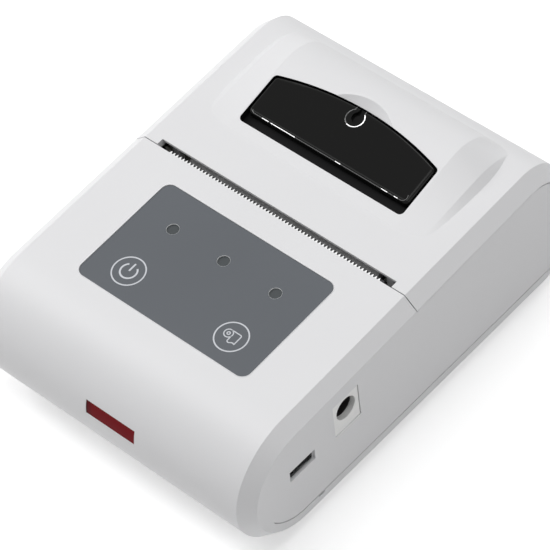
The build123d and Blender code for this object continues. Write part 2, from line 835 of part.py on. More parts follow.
# Spring contacts between the pack's top and the main board
def battery_contacts():
    top = pack_low_z + pack_high
    contacts = []
    for i in (-1, 0, 1):
        x = contact_x + i * contact_pitch
        contacts.append(rod_z(contact_radius, x, contact_y, top + contact_tip, board_top - board_thick)
                        + rod_z(contact_radius / 2, x, contact_y, top, top + contact_tip))
    return contacts


# Battery door: it turns down about the bead along its front edge
def battery_door():
    door = block(-door_half, door_half, door_front_y + door_bead, door_rear_y, foot_height, door_top_z)
    door += rod_x(door_bead, door_front_y + door_bead, foot_height + door_bead, -door_half, door_half)
    grip = rod_z(grip_radius, 0, door_rear_y + grip_out, foot_height - 1, foot_height + door_thick / 2)
    return door - grip


# Side outline of the frame's plates, with the notches that take the platen's bushes
def frame_plate():
    notch = bush_radius + running_gap
    lean = 0.25 * (frame_top_z + 1 - platen_z)
    reach = frame_rear_y - frame_rear_low_y
    plate = side_polygon((frame_front_y, frame_low_z), (frame_rear_low_y, frame_low_z),
                         (frame_rear_low_y, bin_lip_z - bin_wall / 2), (frame_rear_y, bin_lip_z + reach),
                         (frame_rear_y, frame_top_z), (frame_front_y, frame_top_z))
    mouth = side_polygon((platen_y - notch, platen_z), (platen_y + notch, platen_z),
                         (platen_y + notch + lean, frame_top_z + 1), (platen_y - notch, frame_top_z + 1))
    return plate - mouth - Pos(platen_y, platen_z) * Circle(notch)


# Frame of the print mechanism: two plates, a front wall, a shelf under the head and four feet
def mechanism_frame():
    plate = slab(frame_plate(), plate_x, plate_x + plate_thick)
    plate -= rod_x(trunnion_radius + running_gap, head_y, head_pivot_z, 0, half)
    foot = block(plate_x, plate_x + frame_foot_wide, frame_front_y, frame_rear_low_y,
                 frame_low_z, frame_low_z + plate_thick)
    frame = solid_of(*both_sides(plate), *both_sides(foot))
    frame += block(-plate_x, plate_x, frame_front_y, frame_front_y + frame_wall, shelf_z, frame_top_z)
    frame += block(-plate_x, plate_x, frame_front_y, head_y + shelf_long - sink_thick / 2,
                   shelf_z, shelf_z + frame_wall)
    for x, y in mech_screw_places():
        frame -= rod_z(mech_screw_radius + running_gap, x, y, 0, frame_low_z + 2 * plate_thick)
    return frame - rod_x(motor_shaft_radius + 4 * running_gap, motor_y, motor_z, -half, 0)


def mechanism_screws():
    seat = frame_low_z + plate_thick
    return [rod_z(mech_head_radius, x, y, seat, seat + mech_head_height)
            + rod_z(mech_screw_radius, x, y, foot_height + foot_sunk, seat) for x, y in mech_screw_places()]


# Thermal head: ceramic plate on its heat sink, which tips on two trunnions
def print_head():
    return block(-head_half, head_half, head_front, head_front + head_thick,
                 head_low_z + head_foot, head_top_z)


def head_heatsink():
    back, outer = head_front - sink_thick, plate_x + plate_thick
    wide = spring_x + 2 * spring_radius
    sink = block(-sink_half, sink_half, back, head_front, head_low_z, head_top_z)
    for i in range(sink_grooves):
        z = head_low_z + groove_low + i * groove_pitch
        sink -= block(-wide, wide, back - 1, back + groove_deep, z, z + groove_wide)
    for x0, x1 in ((-outer, -head_half), (head_half, outer)):
        sink += rod_x(trunnion_radius, head_y, head_pivot_z, x0, x1)
    return sink


# Compression springs between the heat sink and the frame's front wall
def head_springs():
    back = head_front - sink_thick
    turn = (spring_long - spring_wire) / spring_turns
    path = Helix(pitch=turn, height=spring_long - spring_wire, radius=spring_radius)
    profile = Plane(origin=path @ 0, z_dir=path % 0) * RegularPolygon(spring_wire / 2, 6)
    coil = sweep(profile, path=path, is_frenet=True)
    return [Pos(sx * spring_x, back - spring_wire / 2, spring_z) * Rot(90, 0, 0) * coil for sx in (-1, 1)]


# Spur gear in the YZ plane with involute flanks; turned by angle, with a tooth on +Y at 0
def gear(teeth, y, z, bore, angle, hub):
    pitch = gear_module * teeth / 2
    base = pitch * cos(radians(20))
    tip = pitch + gear_module
    root = pitch - 1.2 * gear_module
    slack = backlash / 2 / pitch

    def half_angle(radius):
        roll = sqrt(max(0.0, (radius / base) ** 2 - 1))
        return pi / (2 * teeth) + tan(radians(20)) - radians(20) - (roll - atan2(roll, 1)) - slack / 2

    start = max(base, root + 0.1)
    levels = [root, start, (pitch + start) / 2 + 0.1, pitch + 0.3 * gear_module, tip]
    points = []
    for i in range(teeth):
        middle = radians(angle) + i * 2 * pi / teeth
        for sign, order in ((-1, levels), (1, levels[::-1])):
            for radius in order:
                a = middle + sign * half_angle(radius)
                points.append((radius * cos(a), radius * sin(a)))
    face = Pos(y, z) * (make_face(Polyline(*points, close=True)) - Circle(bore))
    wheel = slab(face, -gear_x - gear_wide, -gear_x)
    if hub:
        wheel -= ring(root - gear_dish, hub, y, z, -half, -gear_x - gear_wide + gear_dish)
    return wheel


def platen_gear():
    return gear(platen_teeth, platen_y, platen_z, shaft_radius, platen_turn, shaft_radius + gear_dish)


def idler_gear():
    bore = idler_radius + running_gap
    return gear(idler_teeth, idler_y, idler_z, bore, idler_turn, idler_radius + hub_step)


def motor_pinion():
    return gear(pinion_teeth, motor_y, motor_z, motor_shaft_radius, pinion_turn, 0)


def motor_shaft():
    return rod_x(motor_shaft_radius, motor_y, motor_z, -gear_x - gear_wide, -plate_x + motor_shaft_in)


def idler_axle():
    inner = -plate_x - plate_thick
    axle = rod_x(idler_radius, idler_y, idler_z, -gear_x - gear_wide - gear_gap, inner)
    return axle + rod_x(idler_radius + hub_step, idler_y, idler_z, -gear_x + gear_gap / 2, inner)


# Stepper motor: round can on a flange against the frame's left plate
def stepper_motor():
    can = rod_x(motor_radius, motor_y, motor_z, -plate_x + motor_flange, -plate_x + motor_long)
    ears = Pos(motor_y, motor_z) * SlotOverall(2 * (motor_radius + motor_ear), 1.2 * motor_radius)
    flange = slab(ears, -plate_x, -plate_x + motor_flange)
    motor = can + (flange & block(-far, far, frame_front_y, frame_rear_low_y, 0, far))
    bore_end = -plate_x + motor_shaft_in + 2 * running_gap
    return motor - rod_x(motor_shaft_radius + running_gap, motor_y, motor_z, -half, bore_end)


def platen_shaft():
    return rod_x(shaft_radius, platen_y, platen_z, -gear_x - gear_wide, bush_low_x + bush_long + gear_gap)


def platen_rubber():
    return ring(platen_radius, shaft_radius, platen_y, platen_z, -platen_half, platen_half)


# Bushes that carry the platen in the cover's arms and seat in the frame's notches
def platen_bushes():
    return both_sides(ring(bush_radius, shaft_radius + running_gap, platen_y, platen_z,
                           bush_low_x, bush_low_x + bush_long))


# Paper bin: a round-bottomed tub with a guide lip in front and flanges to the case's sides
def paper_bin():
    def tub(radius, x):
        walls = block(-x, x, bin_y - radius, bin_y + radius, bin_z, bin_rim_z)
        return rod_x(radius, bin_y, bin_z, -x, x) + walls

    tray = tub(bin_radius + bin_wall, bin_half + bin_wall) - block(-far, far, -far, far, bin_rim_z, far)
    side = half - wall - board_edge_gap
    tray += block(-side, side, bin_front_y, bin_y + bin_radius + bin_wall, bin_rim_z - bin_wall, bin_rim_z)
    tray -= block(-far, far, -far, bin_front_y, bin_lip_z, far)
    tray += block(-bin_lip_half, bin_lip_half, bin_lip_front_y, bin_y, bin_lip_z - bin_wall, bin_lip_z)
    mouth = block(-bin_half, bin_half, bin_y - bin_radius, bin_y + bin_radius, bin_z, far)
    return tray - tub(bin_radius, bin_half) - mouth


def paper_sensor():
    y, top = bin_lip_front_y + sensor_in, bin_lip_z - bin_wall
    return block(-sensor_wide / 2, sensor_wide / 2, y, y + sensor_long, top - sensor_high, top)


# Plan of the lever's window on the dome, shrunk by inset: straight front, arched rear
def window_face(wide, front, inset, corner):
    deep = window_deep - inset
    rise = window_arc_rise
    edges = [
        Line((-wide, front), (wide, front)),
        Line((wide, front), (wide, deep)),
        ThreePointArc((wide, deep), (0, deep + rise), (-wide, deep)),
        Line((-wide, deep), (-wide, front)),
    ]
    face = make_face(edges)
    return fillet(face.vertices(), corner)


# Paper slot, with the underside of the cover's edge cut away so that the paper clears the platen
def paper_slot():
    rear = seam_y + slot_width
    edge_z, end = top_z(rear) - slot_edge, rear + slot_under
    under = side_polygon((seam_y, edge_z), (rear, edge_z), (end, top_z(end) - wall), (end, hinge_z),
                         (seam_y, hinge_z))
    slot = block(-slot_half, slot_half, seam_y - wall, rear, hinge_z, far)
    return slot + slab(under, -slot_half, slot_half)


# Hinged cover with the dome, its skirts, the round rear edge and the bearing arms of the platen
def paper_cover():
    cover = ((body_form(0) + dome_form(0)) - (body_form(wall) + dome_form(wall))) & cover_space(0)
    cover += rod_x(bead_radius, hinge_y, hinge_z, -half, half) & body_form(0)
    cover -= paper_slot()
    wide = knuckle_wide / 2 + hinge_gap
    for x in (-knuckle_x, knuckle_x):
        cover -= rod_x(bead_radius + hinge_gap, hinge_y, hinge_z, x - wide, x + wide)
    for pin in hinge_pins():
        cover -= pin
    arm = block(arm_x, arm_x + arm_thick, platen_y - arm_radius, platen_y + arm_radius, platen_z, far)
    arm = (arm & body_form(wall / 2)) + rod_x(arm_radius, platen_y, platen_z, arm_x, arm_x + arm_thick)
    arm -= rod_x(bush_radius, platen_y, platen_z, 0, half)
    for piece in both_sides(arm):
        cover += piece
    # finger scoop behind the window, with the wall kept under it
    scoop_y = window_deep + window_arc_rise + scoop_reach - scoop_plan_radius
    scoop_z = sqrt(scoop_round**2 - scoop_plan_radius**2)
    behind = dome_block(-half, half, window_deep / 2, far, -half, half)
    dish = dome * Pos(0, scoop_y, scoop_z) * Sphere(scoop_round) & behind
    under = dome * Pos(0, scoop_y, scoop_z) * Sphere(scoop_round + scoop_wall) & behind
    cover += under & (body_form(wall / 2) + dome_form(wall / 2))
    cover -= dish
    opening = window_face(window_half, 0, 0, window_corner)
    cover -= extrude(dome * Pos(0, 0, -6 * wall) * opening, amount=9 * wall)
    return cover


def hinge_pins():
    return [rod_x(pin_radius, hinge_y, hinge_z, x - pin_length / 2, x + pin_length / 2)
            for x in (-knuckle_x, knuckle_x)]


# Black lining of the window, with the bearings of the lever
def window_lining():
    face = window_face(window_half - insert_gap, insert_gap, insert_gap, window_corner)
    low = -insert_sunk - insert_thick
    lining = extrude(dome * Pos(0, 0, low) * face, amount=insert_thick)
    wide = window_half - insert_flange_in
    lining += dome_block(-wide, wide, -insert_flange, insert_flange, low, -insert_sunk)
    near = lever_pin_x + lever_lug_wide + running_gap
    room = bearing_half + bearing_room
    bearing = dome_block(near, near + lever_lug_wide, lever_pin_in - bearing_half,
                         lever_pin_in + bearing_half, -lever_pin_deep - bearing_half, -insert_sunk)
    pocket = dome_block(lever_pin_x - lever_spring_long, near, lever_pin_in - room,
                        lever_pin_in + room + bearing_room, -lever_pin_deep - room, insert_sunk)
    for bearing_side, pocket_side in zip(both_sides(bearing), both_sides(pocket)):
        lining = lining + bearing_side - pocket_side
    return lining - lever_pin_rod(lever_pin_radius)


def lever_pin_rod(radius):
    return dome * rod_x(radius, lever_pin_in, -lever_pin_deep, -half, half)


# Short steel pins, one at each end of the lever
def lever_pins():
    inner = lever_pin_x - lever_spring_long + lever_side_gap
    outer = lever_pin_x + 2 * lever_lug_wide + running_gap
    return both_sides(dome * rod_x(lever_pin_radius, lever_pin_in, -lever_pin_deep, inner, outer))


# Glossy release lever: a plate with a grip notch, that is lifted at the scoop and turns on the pins
def release_lever():
    face = window_face(lever_half, lever_front, lever_gap, window_corner)
    plate = extrude(dome * Pos(0, 0, lever_proud - lever_thick) * face, amount=lever_thick)
    plate = fillet(plate.faces().sort_by(dome_axis)[-1].edges(), lever_round)
    rear = window_deep + window_arc_rise - lever_gap
    notch_y, notch_z = rear - 1.6 * lever_notch, lever_proud - lever_notch_deep
    neck = 0.6 * lever_notch
    plate -= dome * rod_z(lever_notch, 0, notch_y, notch_z, lever_proud + 1)
    plate -= dome_block(-neck, neck, notch_y, rear + 1, notch_z, lever_proud + 1)
    lug_out = lever_pin_x + lever_lug_wide
    lug = rod_x(lever_lug_radius, lever_pin_in, -lever_pin_deep, lever_pin_x, lug_out)
    lug += block(lever_pin_x, lug_out, lever_pin_in - lever_lug_radius, lever_pin_in + lever_lug_radius,
                 -lever_pin_deep, lever_proud - lever_thick / 2)
    for piece in both_sides(dome * lug):
        plate += piece
    return plate - lever_pin_rod(lever_pin_radius + running_gap)


PARTS = {
    "top_case": top_case,
    "bottom_case": bottom_case,
    "rubber_feet": rubber_feet,
    "case_screws": case_screws,
    "tear_bar": tear_bar,
    "control_panel": control_panel,
    "power_key": lambda: key(key_places()[0]),
    "feed_key": lambda: key(key_places()[1]),
    "left_light": lambda: light_pipe(light_places()[0]),
    "middle_light": lambda: light_pipe(light_places()[1]),
    "right_light": lambda: light_pipe(light_places()[2]),
    "key_board": key_board,
    "tact_switches": tact_switches,
    "indicator_chips": indicator_chips,
    "key_ribbon": key_ribbon,
    "main_board": main_board,
    "controller_chip": controller_chip,
    "storage_capacitor": storage_capacitor,
    "dc_jack": dc_jack,
    "jack_pin": jack_pin,
    "usb_socket": usb_socket,
    "usb_tongue": usb_tongue,
    "ir_window": ir_window,
    "ir_transceiver": ir_transceiver,
    "battery_pack": battery_pack,
    "battery_contacts": battery_contacts,
    "battery_door": battery_door,
    "mechanism_frame": mechanism_frame,
    "mechanism_screws": mechanism_screws,
    "print_head": print_head,
    "head_heatsink": head_heatsink,
    "head_springs": head_springs,
    "stepper_motor": stepper_motor,
    "motor_shaft": motor_shaft,
    "motor_pinion": motor_pinion,
    "idler_axle": idler_axle,
    "idler_gear": idler_gear,
    "platen_gear": platen_gear,
    "platen_shaft": platen_shaft,
    "platen_rubber": platen_rubber,
    "platen_bushes": platen_bushes,
    "paper_bin": paper_bin,
    "paper_sensor": paper_sensor,
    "paper_cover": paper_cover,
    "hinge_pins": hinge_pins,
    "window_lining": window_lining,
    "lever_pins": lever_pins,
    "release_lever": release_lever,
}


def main():
    os.makedirs("parts", exist_ok=True)
    for name, make in PARTS.items():
        shape = make()
        if isinstance(shape, list):
            shape = Compound(children=shape)
        export_step(shape, f"parts/{name}.step")


if __name__ == "__main__":
    main()
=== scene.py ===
import json
import math

import bmesh
import bpy
import numpy as np
from mathutils import Euler, Matrix, Vector


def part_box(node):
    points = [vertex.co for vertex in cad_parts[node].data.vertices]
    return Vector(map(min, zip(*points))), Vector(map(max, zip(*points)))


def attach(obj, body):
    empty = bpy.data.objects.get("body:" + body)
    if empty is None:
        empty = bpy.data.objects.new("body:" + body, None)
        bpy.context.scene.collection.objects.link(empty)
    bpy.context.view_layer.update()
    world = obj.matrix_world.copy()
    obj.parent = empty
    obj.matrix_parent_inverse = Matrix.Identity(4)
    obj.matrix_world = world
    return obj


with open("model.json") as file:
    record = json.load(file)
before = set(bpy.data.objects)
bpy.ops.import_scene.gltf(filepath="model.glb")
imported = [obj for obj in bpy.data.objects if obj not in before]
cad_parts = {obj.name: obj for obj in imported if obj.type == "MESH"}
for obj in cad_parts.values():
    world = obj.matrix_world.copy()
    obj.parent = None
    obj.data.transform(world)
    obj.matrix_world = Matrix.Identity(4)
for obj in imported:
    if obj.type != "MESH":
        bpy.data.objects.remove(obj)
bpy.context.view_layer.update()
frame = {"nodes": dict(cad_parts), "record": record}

print("frame loaded:", len(frame["nodes"]), "nodes")

mm = 0.001

# Places on the printer that the added pieces follow, in millimetres
printer = {
    "half": 40.9,
    "seamY": 2.05,
    "seamZ": 36.697,
    "deckSlope": 0.05,
    "rearY": 53.95,
    "rearTopRadius": 11.5,
    "windowY": 17.85,
    "windowZ": 38.067,
    "domeRise": 0.25,
    "boardTop": 18.766,
}

# Camera at the photograph's viewing angle: place, lens and film in millimetres, turn in degrees
camera = {
    "place": (340.702, -312.731, 564.95),
    "turn": (39.9545, 5.0105, 41.4273),
    "lens": 212.0603,
    "film": 36.0,
    "near": 50.0,
    "far": 20000.0,
}


def makeCamera():
    data = bpy.data.cameras.new("viewCamera")
    data.sensor_fit = "HORIZONTAL"
    data.sensor_width = camera["film"]
    data.lens = camera["lens"]
    data.clip_start, data.clip_end = camera["near"] * mm, camera["far"] * mm
    eye = bpy.data.objects.new("viewCamera", data)
    turn = Euler([math.radians(angle) for angle in camera["turn"]]).to_quaternion()
    eye.matrix_world = Matrix.LocRotScale(Vector(camera["place"]) * mm, turn, None)
    bpy.context.collection.objects.link(eye)
    bpy.context.scene.camera = eye
    bpy.context.scene.view_settings.view_transform = "Standard"


# One value in a node tree; an expression on values adds its Math nodes
class Value:
    def __init__(self, nodes, output):
        self.nodes = nodes
        self.output = output

    def maths(self, kind, *others):
        return self.nodes.add("ShaderNodeMath", {"operation": kind}, dict(enumerate(others)))

    def __add__(self, other):
        return self.maths("ADD", self, other)

    def __sub__(self, other):
        return self.maths("SUBTRACT", self, other)

    def __rsub__(self, other):
        return self.maths("SUBTRACT", other, self)

    def __mul__(self, other):
        return self.maths("MULTIPLY", self, other)

    def __gt__(self, other):
        return self.maths("GREATER_THAN", self, other)

    def __lt__(self, other):
        return self.maths("LESS_THAN", self, other)

    def __abs__(self):
        return self.maths("ABSOLUTE", self)

    __radd__ = __add__
    __rmul__ = __mul__

    def upTo(self, low, high):  # soft step: 0 below low, 1 above high
        ends = dict(enumerate((self, low, high)))
        return self.nodes.add("ShaderNodeMapRange", {"interpolation_type": "SMOOTHSTEP"}, ends)


# A node tree to build in: a node's settings are set first, then its inputs, each a value, a link or numbers
class NodeTree:
    def __init__(self, tree):
        self.tree = tree
        tree.nodes.clear()

    def node(self, kind, settings=None, inputs=None):
        made = self.tree.nodes.new(kind)
        for key, value in (settings or {}).items():
            setattr(made, key, value)
        for key, value in (inputs or {}).items():
            self.connect(made.inputs[key], value)
        return made

    def add(self, kind, settings=None, inputs=None, output=0):
        return Value(self, self.node(kind, settings, inputs).outputs[output])

    def connect(self, slot, value):
        if isinstance(value, Value):
            self.tree.links.new(value.output, slot)
        else:
            slot.default_value = value


# A material with one Principled shader; constants are set on the shader's own sockets
class Finish(NodeTree):
    def __init__(self, name, constants=None):
        self.data = bpy.data.materials.new(name)
        self.data.use_nodes = True
        super().__init__(self.data.node_tree)
        self.shader = self.node("ShaderNodeBsdfPrincipled", inputs=constants)
        self.node("ShaderNodeOutputMaterial", inputs={"Surface": Value(self, self.shader.outputs[0])})
        self.place = self.add("ShaderNodeTexCoord", output="Object")

    def feed(self, name, value):
        self.connect(self.shader.inputs[name], value)

    def noise(self, scale, detail=3.0, place=None):
        return self.add("ShaderNodeTexNoise",
                        inputs={"Vector": place or self.place, "Scale": scale, "Detail": detail})

    def stretched(self, scale):
        return self.add("ShaderNodeMapping", inputs={"Vector": self.place, "Scale": scale})

    def parts(self):  # x, y and z of the place
        made = self.node("ShaderNodeSeparateXYZ", inputs={"Vector": self.place})
        return [Value(self, output) for output in made.outputs]

    def blend(self, factor, low, high):  # sockets 6 and 7 are the node's colours, output 2 its colour
        return self.add("ShaderNodeMix", {"data_type": "RGBA"}, {0: factor, 6: low, 7: high}, 2)

    def bump(self, height, distance):
        self.feed("Normal", self.add("ShaderNodeBump", inputs={"Height": height, "Distance": distance}))


def colour(red, green, blue):
    return (red, green, blue, 1.0)


def grey(level):
    return colour(level, level, level)


def shade(tone, level):
    return tuple(part * level for part in tone[:3]) + (1.0,)


# Moulded plastic: cloudy colour, and spark-eroded grain in the gloss and the bump
mould = {"cloudScale": 38.0, "cloudGloss": 0.08, "grainGloss": 0.05}


def plastic(name, tone, roughness, grain=9000.0, depth=0.000008, cloud=0.03, specular=0.5):
    made = Finish(name, {"Specular IOR Level": specular})
    soft = made.noise(mould["cloudScale"], 4.0)
    fine = made.noise(grain, 2.0)
    base = roughness - (mould["cloudGloss"] + mould["grainGloss"]) / 2
    made.feed("Base Color", made.blend(soft, shade(tone, 1 - cloud), tone))
    made.feed("Roughness", soft * mould["cloudGloss"] + fine * mould["grainGloss"] + base)
    made.bump(fine, depth)
    return made


# Drawn or turned metal: fine lines along one direction, in the gloss and the bump
drawing = {"cloudScale": 70.0, "cloud": 0.14, "lineGloss": 0.16, "depth": 0.000004}


def metal(name, tone, roughness, lines=(1.0, 1.0, 1.0), grain=2500.0):
    made = Finish(name, {"Metallic": 1.0})
    fine = made.noise(grain, 3.0, made.stretched(lines))
    soft = made.noise(drawing["cloudScale"])
    made.feed("Base Color", made.blend(soft, shade(tone, 1 - drawing["cloud"]), tone))
    made.feed("Roughness", fine * drawing["lineGloss"] + (roughness - drawing["lineGloss"] / 2))
    made.bump(fine, drawing["depth"])
    return made


# Circuit board: solder mask over copper tracks, with tinned pads
board = {"mask": colour(0.008, 0.085, 0.03), "track": colour(0.015, 0.16, 0.05),
         "pad": colour(0.55, 0.54, 0.5), "roughness": 0.34, "padGloss": 0.1, "depth": 0.00002,
         "trackScale": 260.0, "trackShift": 0.37, "trackGap": 0.06, "trackBlur": 0.1,
         "padScale": 340.0, "padSpread": 0.35, "padEdge": (0.16, 0.2), "padFieldScale": 90.0,
         "padField": (0.55, 0.57)}


def circuitBoard(name):
    made = Finish(name)
    tracks = made.add("ShaderNodeTexBrick", {"offset": board["trackShift"], "offset_frequency": 3},
                      {"Vector": made.place, "Scale": board["trackScale"],
                       "Mortar Size": board["trackGap"], "Mortar Smooth": board["trackBlur"]}, 1)
    dots = made.add("ShaderNodeTexVoronoi", {},
                    {"Vector": made.place, "Scale": board["padScale"], "Randomness": board["padSpread"]},
                    "Distance")
    field = made.noise(board["padFieldScale"], 1.0).upTo(*board["padField"])
    pads = (1 - dots.upTo(*board["padEdge"])) * field
    wiring = made.blend(tracks, board["mask"], board["track"])
    made.feed("Base Color", made.blend(pads, wiring, board["pad"]))
    made.feed("Roughness", board["roughness"] - pads * board["padGloss"])
    made.feed("Metallic", pads)
    made.bump(tracks + pads, board["depth"])
    return made


# Red filter of the infrared link: deep red with a faint bloom, and darker towards its left end
redGlass = {"end": colour(0.07, 0.012, 0.016), "deep": colour(0.2, 0.009, 0.013),
            "bloom": colour(0.24, 0.02, 0.026), "fade": (-5.8, -3.6), "bloomScale": 220.0, "bloomShare": 0.35,
            "specular": 0.02, "roughness": 0.14, "bloomGloss": 0.1, "depth": 0.000004}


def redWindow(name):
    made = Finish(name, {"Specular IOR Level": redGlass["specular"]})
    start, end = redGlass["fade"]
    deep = made.blend(made.parts()[0].upTo(start * mm, end * mm), redGlass["end"], redGlass["deep"])
    soft = made.noise(redGlass["bloomScale"], 3.0)
    made.feed("Base Color", made.blend(soft * redGlass["bloomShare"], deep, redGlass["bloom"]))
    made.feed("Roughness", redGlass["roughness"] + soft * redGlass["bloomGloss"])
    made.bump(soft, redGlass["depth"])
    return made


# Rubber of the roller: ground lengthwise, with paper dust on it
rubber = {"dark": colour(0.46, 0.46, 0.47), "light": colour(0.58, 0.58, 0.59), "dust": grey(0.72),
          "lineScale": 1500.0, "lineStretch": (0.12, 1.0, 1.0), "lineShare": 0.5, "dustScale": 2400.0,
          "dustEdge": (0.5, 0.62), "dustShare": 0.5, "specular": 0.3, "roughness": 0.62, "dustGloss": 0.2,
          "depth": 0.00003}


def rollerRubber(name):
    made = Finish(name, {"Specular IOR Level": rubber["specular"]})
    lines = made.noise(rubber["lineScale"], 3.0, made.stretched(rubber["lineStretch"]))
    dust = made.noise(rubber["dustScale"], 4.0)
    tone = made.blend(lines * rubber["lineShare"], rubber["dark"], rubber["light"])
    dusty = dust.upTo(*rubber["dustEdge"]) * rubber["dustShare"]
    made.feed("Base Color", made.blend(dusty, tone, rubber["dust"]))
    made.feed("Roughness", rubber["roughness"] + dust * rubber["dustGloss"])
    made.bump(lines, rubber["depth"])
    return made


# Wrapped cells: shrunk film with wrinkles along x and a lengthwise seam
wrap = {"dark": colour(0.012, 0.03, 0.11), "light": colour(0.016, 0.045, 0.15),
        "seam": colour(0.03, 0.07, 0.2), "seamY": -21.8, "seamHalf": 0.3, "seamShare": 0.6,
        "wrinkleScale": 260.0, "wrinkleStretch": (0.15, 1.0, 1.0), "roughness": 0.2, "wrinkleGloss": 0.2,
        "depth": 0.00012}


def batteryWrap(name):
    made = Finish(name)
    wrinkles = made.noise(wrap["wrinkleScale"], 4.0, made.stretched(wrap["wrinkleStretch"]))
    seam = abs(made.parts()[1] - wrap["seamY"] * mm) < wrap["seamHalf"] * mm
    film = made.blend(wrinkles, wrap["dark"], wrap["light"])
    made.feed("Base Color", made.blend(seam * wrap["seamShare"], film, wrap["seam"]))
    made.feed("Roughness", wrap["roughness"] + wrinkles * wrap["wrinkleGloss"])
    made.bump(wrinkles + seam, wrap["depth"])
    return made


filmGrey = colour(0.117, 0.127, 0.141)
looks = {
    "case_white": plastic("whiteHousing", colour(0.80, 0.80, 0.812), 0.46),
    "panel_grey": plastic("panelFilm", filmGrey, 0.5, 5200.0, cloud=0.1, specular=0.3),
    "lever_black": plastic("glossBlack", colour(0.007, 0.007, 0.0068), 0.1, 900.0, 0.0000012, specular=0.1),
    "lining_black": plastic("satinBlack", colour(0.007, 0.007, 0.0075), 0.45, specular=0.05),
    "key_grey": plastic("keyFilm", filmGrey, 0.5, 5200.0, cloud=0.1, specular=0.3),
    "light_clear": plastic("lightLens", colour(0.062, 0.07, 0.074), 0.3, 3000.0, specular=0.3),
    "window_red": redWindow("redWindow"),
    "socket_black": plastic("socketBlack", colour(0.012, 0.012, 0.013), 0.45),
    "socket_white": plastic("socketWhite", colour(0.93, 0.93, 0.92), 0.4),
    "frame_black": plastic("frameBlack", colour(0.02, 0.02, 0.022), 0.5, 5000.0, cloud=0.25),
    "bin_black": plastic("binBlack", colour(0.024, 0.024, 0.026), 0.5, 4000.0, 0.00003, cloud=0.2),
    "gear_white": plastic("gearWhite", colour(0.7, 0.69, 0.64), 0.4, 5000.0, cloud=0.08),
    "roller_rubber": rollerRubber("rollerRubber"),
    "foot_rubber": plastic("footRubber", colour(0.035, 0.035, 0.036), 0.8, 2600.0, 0.00004, cloud=0.3),
    "steel": metal("turnedSteel", colour(0.55, 0.55, 0.56), 0.32),
    "tear_steel": metal("tearSteel", grey(0.66), 0.5, (0.1, 1.0, 1.0)),
    "bright_steel": metal("drawnSteel", colour(0.68, 0.68, 0.69), 0.26, (1.0, 0.1, 1.0)),
    "aluminium": metal("castAluminium", colour(0.6, 0.61, 0.62), 0.4, grain=900.0),
    "ceramic": plastic("glazedCeramic", colour(0.62, 0.6, 0.55), 0.2, 3000.0, cloud=0.06),
    "board_green": circuitBoard("circuitBoard"),
    "chip_black": plastic("chipEpoxy", colour(0.018, 0.018, 0.02), 0.5, 6000.0, cloud=0.2),
    "battery_wrap": batteryWrap("batteryWrap"),
    "brass": metal("goldPlatedBrass", colour(0.72, 0.52, 0.2), 0.25),
    "cable_white": plastic("cableFilm", colour(0.72, 0.72, 0.68), 0.3, 3000.0, cloud=0.08),
}
slots = {part["node"]: part["material_slot"] for part in frame["record"]["subparts"]}
for node, thing in frame["nodes"].items():
    thing.data.materials.clear()
    thing.data.materials.append(looks[slots[node]].data)
print("materials on the frame's nodes:", len(looks))


# Quads between the neighbours of a grid; a closed direction joins its last line to its first
def gridFaces(rows, columns, closedRows=False, closedColumns=True):
    row, column = np.meshgrid(np.arange(rows - (not closedRows)), np.arange(columns - (not closedColumns)),
                              indexing="ij")
    below, beside = (row + 1) % rows, (column + 1) % columns
    corners = ((row, column), (row, beside), (below, beside), (below, column))
    return np.stack([line * columns + place for line, place in corners], -1).reshape(-1, 4).tolist()


# One mesh of points in millimetres, with its faces turned outwards
def addPiece(name, points, faces, body, slot, look=None, smooth=True):
    data = bpy.data.meshes.new(name)
    data.from_pydata((np.asarray(points, float).reshape(-1, 3) * mm).tolist(), [], faces)
    shell = bmesh.new()
    shell.from_mesh(data)
    bmesh.ops.recalc_face_normals(shell, faces=shell.faces)
    shell.to_mesh(data)
    shell.free()
    data.materials.append((look or looks[slot]).data)
    if smooth:
        data.shade_smooth()
    thing = bpy.data.objects.new(name, data)
    bpy.context.collection.objects.link(thing)
    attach(thing, body)
    return thing


# Surface(u, v) = path(u) + outline x(v) times side(u) + outline y(v) times up(u)
def carried(path, side, up, outline):
    across, high = outline[None, :, 0, None], outline[None, :, 1, None]
    return path[:, None] + across * side[:, None] + high * up[:, None]


# Faces of a closed outline carried along an open path, with a face over each end
def capped(rows, columns):
    ends = [list(range(columns)), list(range((rows - 1) * columns, rows * columns))]
    return gridFaces(rows, columns) + ends


# Round outline: x = radius cos(t), y = radius sin(t)
def roundOutline(radius, count=10):
    turn = np.linspace(0, 2 * math.pi, count, endpoint=False)
    return np.stack([radius * np.cos(turn), radius * np.sin(turn)], -1)


# Flat outline: a rectangle centred across, between two heights
def flatOutline(wide, low, high):
    return np.array([(-wide / 2, low), (wide / 2, low), (wide / 2, high), (-wide / 2, high)])


# Several shells of points and faces as one mesh
def joined(shells):
    points, faces, start = [], [], 0
    for shellPoints, shellFaces in shells:
        shellPoints = np.asarray(shellPoints, float).reshape(-1, 3)
        points.append(shellPoints)
        faces += [[corner + start for corner in face] for face in shellFaces]
        start += len(shellPoints)
    return np.concatenate(points), faces


